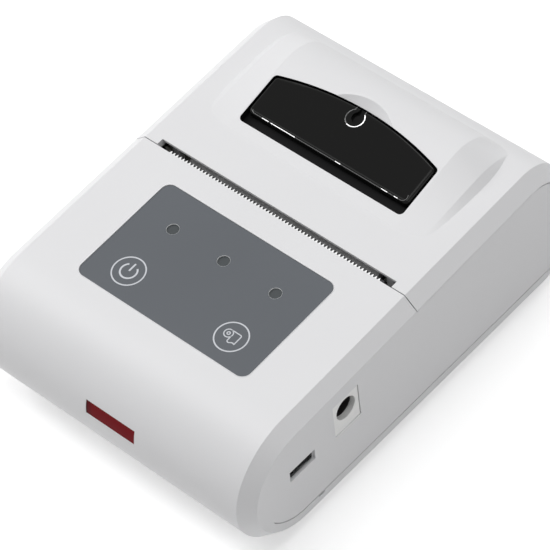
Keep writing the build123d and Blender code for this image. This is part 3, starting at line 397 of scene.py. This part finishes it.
# A sloping face of the printer: point = origin + x across + y up the slope + height out of it
class Slope:
    def __init__(self, origin, rise):
        size = math.hypot(1.0, rise)
        self.origin = np.array(origin, float)
        self.across = np.array((1.0, 0.0, 0.0))
        self.along = np.array((0.0, 1.0, rise)) / size
        self.out = np.array((0.0, -rise, 1.0)) / size

    def at(self, x, y, height=0.0):
        x, y, height = np.broadcast_arrays(*(np.asarray(value, float) for value in (x, y, height)))
        return (self.origin + x[..., None] * self.across + y[..., None] * self.along
                + height[..., None] * self.out)

    # Shell of a line drawn on the face: an outline carried along plan points (x, y)
    def drawn(self, plan, outline, closed=False, height=0.0):
        plan = np.asarray(plan, float)
        if closed:
            step = np.roll(plan, -1, 0) - np.roll(plan, 1, 0)
        else:
            step = np.gradient(plan, axis=0)
        step /= np.linalg.norm(step, axis=1, keepdims=True)
        side = step[:, 1:2] * self.across - step[:, 0:1] * self.along
        path = self.at(plan[:, 0], plan[:, 1], height)
        points = carried(path, side, np.tile(self.out, (len(plan), 1)), outline)
        count = len(outline)
        faces = gridFaces(len(plan), count, True) if closed else capped(len(plan), count)
        return points, faces


deck = Slope((0, printer["seamY"], printer["seamZ"]), printer["deckSlope"])
dome = Slope((0, printer["windowY"], printer["windowZ"]), printer["domeRise"])


# Points x = centre + radius cos(t), y = centre + radius sin(t) from one angle to another, in degrees
def arc(x, y, radius, start, end, count=40):
    turn = np.radians(np.linspace(start, end, count))
    return np.stack([x + radius * np.cos(turn), y + radius * np.sin(turn)], -1)


# The whole circle, without its last point, which repeats the first
def full(x, y, radius, count=72):
    return arc(x, y, radius, 0, 360, count + 1)[:-1]


# Control panel on the deck: its film, and the middles of its keys and lights
panel = {"half": 24.6, "rear": -6.4, "front": -36.69, "corner": 2.3, "film": -0.12,
         "keyX": 14.95, "keyY": -29.84, "keyRadius": 4.13, "lightX": 14.9, "lightY": -15.6}

# White print, from a key's middle: a ring with a power sign, and a ring with a roll and its strip of paper
keySign = {"line": 0.33, "bold": 0.42, "thin": 0.26, "sunk": 0.01, "proud": 0.02, "ring": 3.82,
           "powerRadius": 1.95, "powerGap": 38.0, "barLow": 0.1, "barHigh": 2.35,
           "rollX": -1.15, "rollY": 0.4, "rollRadius": 1.05, "coreRadius": 0.35,
           "stripLeft": -0.15, "stripRight": 1.75, "stripLow": -1.3, "stripCorner": 0.4,
           "hemWave": 0.22, "foldTop": 0.1}


# Each line is a flat outline carried along rings, arcs and straight stretches; the hem is one sine wave
def makePanelPrint():
    white = plastic("printedWhite", colour(0.66, 0.68, 0.72), 0.55, 4000.0, cloud=0.12)
    low, high = panel["film"] - keySign["sunk"], panel["film"] + keySign["proud"]
    wide, bold, thin = (flatOutline(keySign[key], low, high) for key in ("line", "bold", "thin"))
    x, y, gap = -panel["keyX"], panel["keyY"], keySign["powerGap"]
    power = [deck.drawn(full(x, y, keySign["ring"]), wide, True),
             deck.drawn(arc(x, y, keySign["powerRadius"], 90 + gap, 450 - gap), bold),
             deck.drawn([(x, y + keySign["barLow"]), (x, y + keySign["barHigh"])], bold)]
    addPiece("powerSign", *joined(power), "power_button", "key_grey", white, False)
    x = panel["keyX"]
    rollX, rollY, radius = x + keySign["rollX"], y + keySign["rollY"], keySign["rollRadius"]
    left, right, foot = x + keySign["stripLeft"], x + keySign["stripRight"], y + keySign["stripLow"]
    top, corner = rollY + radius, keySign["stripCorner"]
    strip = np.concatenate([[(rollX, top), (right - corner, top)],
                            arc(right - corner, top - corner, corner, 90, 0, 8), [(right, foot)]])
    share = np.linspace(0, 1, 24)
    wave = keySign["hemWave"] * np.sin(share * 2 * math.pi)
    hem = np.stack([right + (left - right) * share, foot + wave], -1)
    feed = [deck.drawn(full(x, y, keySign["ring"]), wide, True),
            deck.drawn(full(rollX, rollY, radius, 40), thin, True),
            deck.drawn(full(rollX, rollY, keySign["coreRadius"], 24), thin, True),
            deck.drawn(strip, thin),
            deck.drawn(hem, thin),
            deck.drawn([(left, foot), (left, y + keySign["foldTop"])], thin)]
    addPiece("feedSign", *joined(feed), "feed_button", "key_grey", white, False)


# Fine edges: the cut round each key, the pale wall of the well over each light, the lip round the film
rims = {"keyWide": 0.16, "keyLow": -0.25, "keyProud": 0.004,
        "wellRadius": 1.49, "wellWide": 0.03, "wellLow": -0.52, "wellSunk": 0.02,
        "lipOut": 0.14, "lipRadius": 0.11, "lipHeight": -0.03}


# Flat outlines carried round circles, and a round one carried round the film's rectangle
def makePanelRims():
    film = panel["film"]
    cut = flatOutline(rims["keyWide"], rims["keyLow"], film + rims["keyProud"])
    cuts = [deck.drawn(full(side * panel["keyX"], panel["keyY"], panel["keyRadius"]), cut, True)
            for side in (-1, 1)]
    addPiece("keyFilmEdges", *joined(cuts), "case", "panel_grey", smooth=False)
    pale = plastic("lightWell", colour(0.8, 0.81, 0.82), 0.5, 3000.0, cloud=0.1)
    wall = flatOutline(rims["wellWide"], rims["wellLow"], film - rims["wellSunk"])
    wells = [deck.drawn(full(side * panel["lightX"], panel["lightY"], rims["wellRadius"]), wall, True)
             for side in (-1, 0, 1)]
    addPiece("lightWells", *joined(wells), "case", "case_white", pale)
    corner = panel["corner"]
    x = panel["half"] + rims["lipOut"] - corner
    rear, front = panel["rear"] + rims["lipOut"] - corner, panel["front"] - rims["lipOut"] + corner
    around = np.concatenate([arc(x, rear, corner, 0, 90, 10), arc(-x, rear, corner, 90, 180, 10),
                             arc(-x, front, corner, 180, 270, 10), arc(x, front, corner, 270, 360, 10)])
    lip = deck.drawn(around, roundOutline(rims["lipRadius"]), True, rims["lipHeight"])
    addPiece("panelLip", *lip, "case", "case_white")


# Lever on the dome: its front edge with a bead, and its grip notch with a rim
lever = {"half": 22.2, "front": 3.0, "endTurn": 1.1, "bead": 0.13, "beadHeight": 0.18,
         "notchX": -0.5, "notchY": 13.95, "notchRadius": 2.25, "neck": 1.35, "rear": 16.4,
         "rim": 0.17, "rimHeight": 0.22}

# Painted highlight: white metallic colour on stretches of the bead along x, and on the notch's right front
# side
paintedGlint = {"bright": ((-18.8, -17.2), (-16.4, -9.4), (2.4, 3.9), (15.8, 17.4), (19.2, 20.2)), "ragged": 1.6,
          "litRight": 0.84, "litFront": 0.54, "litEdge": (0.2, 0.6), "litRagged": 2.0,
          "dull": grey(0.02), "lit": grey(0.9), "grain": 900.0, "specular": 0.9,
          "roughness": 0.1, "grainGloss": 0.2, "depth": 0.00001}


# Black plastic with a painted highlight: white and metallic where makeMask gives 1
def paintedGlintFinish(name, makeMask):
    made = Finish(name, {"Specular IOR Level": paintedGlint["specular"]})
    grain = made.noise(paintedGlint["grain"], 3.0)
    mask = makeMask(made, grain)
    made.feed("Base Color", made.blend(mask, paintedGlint["dull"], paintedGlint["lit"]))
    made.feed("Metallic", mask)
    made.feed("Roughness", paintedGlint["roughness"] + grain * paintedGlint["grainGloss"])
    made.bump(grain, paintedGlint["depth"])
    return made


# 1 on the stretches of the bead with the painted highlight, which end raggedly
def beadGlintMask(made, grain):
    ragged = made.parts()[0] + (grain - 0.5) * (paintedGlint["ragged"] * mm)
    return sum((ragged > start * mm) * (ragged < end * mm) for start, end in paintedGlint["bright"])


# 1 on the lit side of the notch, where the highlight is painted: the place along the light's direction, made
# ragged
def notchGlintMask(made, grain):
    across, along = made.parts()[:2]
    middle = dome.at(lever["notchX"], lever["notchY"]) * mm
    right, forward = across - float(middle[0]), along - float(middle[1])
    ragged = (grain - 0.5) * (paintedGlint["litRagged"] * mm)
    lit = right * paintedGlint["litRight"] - forward * paintedGlint["litFront"] + ragged
    return lit.upTo(*(end * mm for end in paintedGlint["litEdge"]))


# Round outlines carried along the lever's front edge and ends, and round the notch and up its neck
def makeLeverBeads():
    end, front, turn = lever["half"], lever["front"], lever["endTurn"]
    straight = np.stack([np.linspace(-end + turn, end - turn, 60), np.full(60, front)], -1)
    line = np.concatenate([arc(-end + turn, front + turn, turn, 200, 270, 10), straight[1:-1],
                           arc(end - turn, front + turn, turn, -90, 45, 16)])
    bead = dome.drawn(line, roundOutline(lever["bead"]), height=lever["beadHeight"])
    # Painted highlight on the bead and the notch rim, put into their colour through the masks
    addPiece("leverEdgeBead", *bead, "lever", "lever_black", paintedGlintFinish("leverPaintedGlint", beadGlintMask))
    x, y, neck, rear = lever["notchX"], lever["notchY"], lever["neck"], lever["rear"]
    lean = math.degrees(math.asin(neck / lever["notchRadius"]))
    around = np.concatenate([[(x - neck, rear)], arc(x, y, lever["notchRadius"], 90 + lean, 450 - lean, 40),
                             [(x + neck, rear)]])
    rim = dome.drawn(around, roundOutline(lever["rim"], 8), height=lever["rimHeight"])
    addPiece("notchRim", *rim, "lever", "lever_black", paintedGlintFinish("notchPaintedGlint", notchGlintMask))


# Black sleeve on the wall of the lever's window
sleeve = {"half": 23.66, "deep": 13.37, "rise": 3.55, "corner": 1.16, "front": 0.04,
          "top": -0.12, "low": -2.1, "thick": 0.08}


# A flat outline carried round the window's plan, whose rear arc has radius = (half^2 + rise^2) / (2 rise)
def makeWindowSleeve():
    half, front, corner = sleeve["half"], sleeve["front"], sleeve["corner"]
    radius = (half**2 + sleeve["rise"] ** 2) / (2 * sleeve["rise"])
    lean = math.degrees(math.asin((half - corner) / radius))
    rear = arc(0, sleeve["deep"] + sleeve["rise"] - radius, radius, 90 - lean, 90 + lean, 60)
    x, side = half - corner, rear[0][1] - corner
    plan = np.concatenate([arc(x, front + corner, corner, -90, 0, 8),
                           arc(x, side, corner, 0, 90 - lean, 8)[:-1], rear,
                           arc(-x, side, corner, 90 + lean, 180, 8)[1:],
                           arc(-x, front + corner, corner, 180, 270, 8)])
    band = flatOutline(sleeve["thick"], sleeve["low"], sleeve["top"])
    addPiece("windowSleeve", *dome.drawn(plan, band, True), "cover", "lining_black", smooth=False)


# Outer face of the red window, which follows the nose
redFace = {"left": -5.76, "right": 8.36, "low": 19.40, "high": 23.13, "noseY": -36.834, "noseZ": 17.616,
           "radius": 17.116, "sunk": 0.07, "thick": 0.3, "columns": 12, "rows": 9}


# A slab along x whose front is y = noseY - sqrt((radius - sunk)^2 - (z - noseZ)^2)
def makeRedFace():
    x = np.linspace(redFace["left"], redFace["right"], redFace["columns"])
    z = np.linspace(redFace["low"], redFace["high"], redFace["rows"])
    y = redFace["noseY"] - np.sqrt((redFace["radius"] - redFace["sunk"]) ** 2 - (z - redFace["noseZ"]) ** 2)
    line = np.stack([np.zeros(len(z)), y, z], -1)
    loop = np.concatenate([line, line[::-1] + (0, redFace["thick"], 0)])
    points = loop[None] + x[:, None, None] * np.array((1.0, 0.0, 0.0))
    addPiece("redFace", points, capped(len(x), len(loop)), "case", "window_red", smooth=False)


# Painted shade: a black ledge under the blade, put there to show dark between the teeth where their shadow
# falls
shadeLedge = {"half": 31.2, "rear": 1.12, "front": -1.5, "high": -1.16, "low": -1.7}


# A rectangle carried straight across the deck
def makeShadeLedge():
    middle = (shadeLedge["rear"] + shadeLedge["front"]) / 2
    outline = flatOutline(shadeLedge["rear"] - shadeLedge["front"], shadeLedge["low"], shadeLedge["high"])
    bar = deck.drawn([(-shadeLedge["half"], middle), (shadeLedge["half"], middle)], outline)
    # Painted shade: this black bar stands for the shadow between the teeth
    addPiece("bladeShadeLedge", *bar, "case", "frame_black", smooth=False)


# Shallow bowl of the finger scoop, between the window's rear arc and its own rim
scoop = {"y": 7.95, "rim": 11.78, "bowl": 21.0, "half": 8.08, "arcY": -63.93, "arcRadius": 80.886,
         "lift": 0.02, "thick": 0.8, "columns": 61, "rows": 15}


# Height = lift + sqrt(bowl^2 - rim^2) - sqrt(bowl^2 - r^2), with r measured from the bowl's middle
def makeScoopBowl():
    x = np.linspace(-scoop["half"], scoop["half"], scoop["columns"])
    low = scoop["arcY"] + np.sqrt(scoop["arcRadius"] ** 2 - x**2)
    high = scoop["y"] + np.sqrt(scoop["rim"] ** 2 - x**2)
    share = np.linspace(0, 1, scoop["rows"])[:, None]
    y = low + (np.maximum(high, low) - low) * share
    wide = np.broadcast_to(x, y.shape)
    away = wide**2 + (y - scoop["y"]) ** 2
    level = scoop["lift"] + math.sqrt(scoop["bowl"] ** 2 - scoop["rim"] ** 2)
    height = level - np.sqrt(scoop["bowl"] ** 2 - away)
    skins = [dome.at(wide, y, height - depth).reshape(-1, 3) for depth in (0, scoop["thick"])]
    count = y.size
    corners = np.arange(count).reshape(y.shape)
    sheet = gridFaces(*y.shape, closedColumns=False)
    rim = np.concatenate([corners[0], corners[1:-1, -1], corners[-1, ::-1], corners[-2:0:-1, 0]])
    after = np.roll(rim, -1)
    wall = np.stack([rim, after, after + count, rim + count], -1).tolist()
    faces = sheet + [[corner + count for corner in face] for face in sheet] + wall
    addPiece("scoopBowl", np.concatenate(skins), faces, "cover", "case_white")


# Blocks as one mesh: corner = middle + half the size times the corner's signs
def blocks(middles, sizes):
    signs = np.array([(a, b, c) for a in (-1, 1) for b in (-1, 1) for c in (-1, 1)], float)
    middles, sizes = np.atleast_2d(middles).astype(float), np.atleast_2d(sizes).astype(float)
    points = middles[:, None] + signs[None] * np.broadcast_to(sizes, middles.shape)[:, None] / 2
    sides = np.array([(0, 1, 3, 2), (4, 6, 7, 5), (0, 4, 5, 1), (2, 3, 7, 6), (0, 2, 6, 4), (1, 5, 7, 3)])
    faces = (np.arange(len(middles))[:, None, None] * 8 + sides).reshape(-1, 4)
    return points.reshape(-1, 3), faces.tolist()


# Small parts soldered on the main board: the controller's legs, and rows of resistors with tinned ends
mainBoard = {"chipX": -6.0, "chipY": -25.95, "chipHalf": 5.0,
             "legs": 12, "legPitch": 0.78, "legLong": 1.0, "legWide": 0.32, "legThick": 0.18,
             "legHeight": 0.14, "legSunk": 0.1,
             "rowsX": (9.0, 12.5, 16.0, 19.5, 23.0), "rowsY": (-40.0, -36.5, -30.5, -27.5, -22.5, -19.0),
             "resistor": (1.5, 0.85, 0.5), "resistorHeight": 0.3, "end": (0.3, 0.9, 0.56), "endX": 0.72}


# Legs at equal steps along the controller's four sides, and a resistor where each column meets each row
def makeBoardParts():
    top, long = printer["boardTop"], mainBoard["legLong"]
    wide, thick = mainBoard["legWide"], mainBoard["legThick"]
    reach = mainBoard["chipHalf"] + long / 2 - mainBoard["legSunk"]
    step = (np.arange(mainBoard["legs"]) - (mainBoard["legs"] - 1) / 2) * mainBoard["legPitch"]
    x, y, same = mainBoard["chipX"], mainBoard["chipY"], np.ones(len(step))
    level = same * (top + mainBoard["legHeight"])
    middles = [np.stack([x + step, same * (y + side * reach), level], -1) for side in (-1, 1)]
    middles += [np.stack([same * (x + side * reach), y + step, level], -1) for side in (-1, 1)]
    sizes = np.repeat([(wide, long, thick)] * 2 + [(long, wide, thick)] * 2, len(step), 0)
    addPiece("controllerLegs", *blocks(np.concatenate(middles), sizes), "case", "bright_steel", smooth=False)
    columns, rows = np.meshgrid(mainBoard["rowsX"], mainBoard["rowsY"])
    level = np.full(columns.size, top + mainBoard["resistorHeight"])
    places = np.stack([columns.ravel(), rows.ravel(), level], -1)
    addPiece("chipResistors", *blocks(places, mainBoard["resistor"]), "case", "chip_black", smooth=False)
    ends = np.concatenate([places + (side * mainBoard["endX"], 0, 0) for side in (-1, 1)])
    addPiece("resistorEnds", *blocks(ends, mainBoard["end"]), "case", "bright_steel", smooth=False)


# Plug that takes the key board's flat cable on the main board, with its latch
plug = {"behind": 1.2, "body": (13.4, 2.2, 1.7), "bodyHeight": 0.9, "latch": (12.6, 0.7, 0.4),
        "latchForward": 0.9, "latchHeight": 1.95}


# Two blocks, placed from the cable's rear end
def makeRibbonPlug():
    y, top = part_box("key_ribbon")[1].y / mm + plug["behind"], printer["boardTop"]
    body = blocks([(0, y, top + plug["bodyHeight"])], plug["body"])
    latch = blocks([(0, y - plug["latchForward"], top + plug["latchHeight"])], plug["latch"])
    addPiece("ribbonPlug", *joined([body, latch]), "case", "gear_white", smooth=False)


# Thin strip in the gap under the cover's side skirts, as the real skirts close up to the case
skirt = {"inset": 3.225, "wide": 0.2, "deep": 1.0, "sunk": 0.02, "start": 2.45, "end": 44.5}


# A flat outline carried along z = seamZ + slope (y - seamY), set in square to it, then round the rear's arc
def makeSkirtStrips():
    slope, size = printer["deckSlope"], math.hypot(1.0, printer["deckSlope"])
    y = np.linspace(skirt["start"], printer["rearY"] - printer["rearTopRadius"], 40)
    z = printer["seamZ"] + slope * (y - printer["seamY"]) - skirt["inset"] * size
    radius = printer["rearTopRadius"] - skirt["inset"]
    lean = 90 + math.degrees(math.atan(slope))
    stop = math.degrees(math.acos((skirt["end"] - y[-1]) / radius))
    turn = arc(y[-1] + radius * slope / size, z[-1] - radius / size, radius, lean, stop, 12)
    path = np.concatenate([np.stack([y, z], -1), turn[1:]])
    step = np.gradient(path, axis=0)
    step /= np.linalg.norm(step, axis=1, keepdims=True)
    across = np.stack([np.zeros(len(path)), -step[:, 1], step[:, 0]], -1)
    outline = flatOutline(skirt["wide"], 0.0, skirt["deep"])
    shells = []
    for side in (-1, 1):
        x = np.full(len(path), side * (printer["half"] - skirt["sunk"]))
        inward = np.tile((-side, 0.0, 0.0), (len(path), 1))
        points = carried(np.column_stack([x, path]), across, inward, outline)
        shells.append((points, capped(len(path), len(outline))))
    addPiece("skirtStrips", *joined(shells), "case", "case_white", smooth=False)


# Dark contact sleeve inside the power socket, which narrows at its inner end
jack = {"y": -21.7, "z": 24.666, "face": 40.65, "radius": 2.97, "bore": 0.93, "throat": 0.38, "mouth": 1.35,
        "deep": 9.4, "sides": 48}


# A tube along x, seen from inside: y = middle + radius cos(t), z = middle + radius sin(t)
def makeJackSleeve():
    x = jack["face"] - np.array([jack["mouth"], jack["mouth"], jack["deep"], jack["deep"]])
    radius = jack["radius"] * np.array([1.0, jack["bore"], jack["bore"], jack["throat"]])
    ring = roundOutline(1.0, jack["sides"]) * radius[:, None, None] + (jack["y"], jack["z"])
    points = np.concatenate([np.repeat(x, jack["sides"]).reshape(len(x), -1, 1), ring], -1)
    dark = plastic("sleeveDark", colour(0.02, 0.019, 0.018), 0.35, 3000.0, cloud=0.3)
    faces = gridFaces(len(x), jack["sides"])
    tube = addPiece("jackSleeve", points, faces, "case", "socket_black", dark, False)
    tube.data.flip_normals()


makePanelPrint()
makePanelRims()
makeLeverBeads()
makeWindowSleeve()
makeRedFace()
makeShadeLedge()
makeScoopBowl()
makeBoardParts()
makeRibbonPlug()
makeSkirtStrips()
makeJackSleeve()
print("pieces added to the printer")

# Floor and sky: white to the camera and to mirrors, and a plain level of light for the printer
studio = {"floorHalf": 3.0, "floorTone": 0.86, "cloud": 0.01, "cloudScale": 3.0, "roughness": 0.9,
          "floorGlow": 0.42, "ambient": 0.06}


def seenDirectly(nodes):  # 1 for what the camera, a mirror or glass sees
    path = nodes.node("ShaderNodeLightPath")
    kinds = ("Is Camera Ray", "Is Glossy Ray", "Is Transmission Ray")
    direct, mirrored, through = (Value(nodes, path.outputs[kind]) for kind in kinds)
    return direct + mirrored + through


def makeStudio():
    constants = {"Roughness": studio["roughness"], "Emission Strength": studio["floorGlow"]}
    cloth = Finish("studioFloor", constants)
    tone, soft = studio["floorTone"], cloth.noise(studio["cloudScale"])
    cloth.feed("Base Color", cloth.blend(soft, grey(tone), grey(tone + studio["cloud"])))
    cloth.feed("Emission Color", cloth.blend(seenDirectly(cloth), grey(0), grey(1)))
    half = studio["floorHalf"]
    data = bpy.data.meshes.new("studioFloor")
    corners = [(-half, -half, 0), (half, -half, 0), (half, half, 0), (-half, half, 0)]
    data.from_pydata(corners, [], [(0, 1, 2, 3)])
    data.materials.append(cloth.data)
    floor = bpy.data.objects.new("studioFloor", data)
    bpy.context.collection.objects.link(floor)
    world = bpy.data.worlds.new("studio")
    bpy.context.scene.world = world
    world.use_nodes = True
    sky = NodeTree(world.node_tree)
    faint, white = (sky.add("ShaderNodeBackground", inputs={"Color": grey(1), "Strength": level})
                    for level in (studio["ambient"], 1.0))
    mixed = sky.add("ShaderNodeMixShader", inputs={0: seenDirectly(sky), 1: faint, 2: white})
    sky.node("ShaderNodeOutputWorld", inputs={"Surface": mixed})


# Each lamp: place in metres, side of its square, power in watts
lamps = {
    "mainLamp": ((-0.65, -0.3, 1.0), 0.5, 1.9),
    "topLamp": ((0.0, 0.0, 1.2), 0.8, 6.5),
    "leftLamp": ((-1.0, -0.3, 0.7), 0.6, 6.3),
    "rightLamp": ((1.0, 0.0, 0.6), 0.6, 2.05),
    "backLamp": ((-0.2, 1.1, 0.7), 0.6, 2.4),
}


def makeLamps():
    for name, (place, size, power) in lamps.items():
        data = bpy.data.lights.new(name, "AREA")
        data.shape = "SQUARE"
        data.size = size
        data.energy = power
        lamp = bpy.data.objects.new(name, data)
        at = Vector(place)
        lamp.matrix_world = Matrix.LocRotScale(at, (-at).to_track_quat("-Z", "Y"), None)
        bpy.context.collection.objects.link(lamp)


makeCamera()
makeStudio()
makeLamps()
print("camera, floor and lamps")
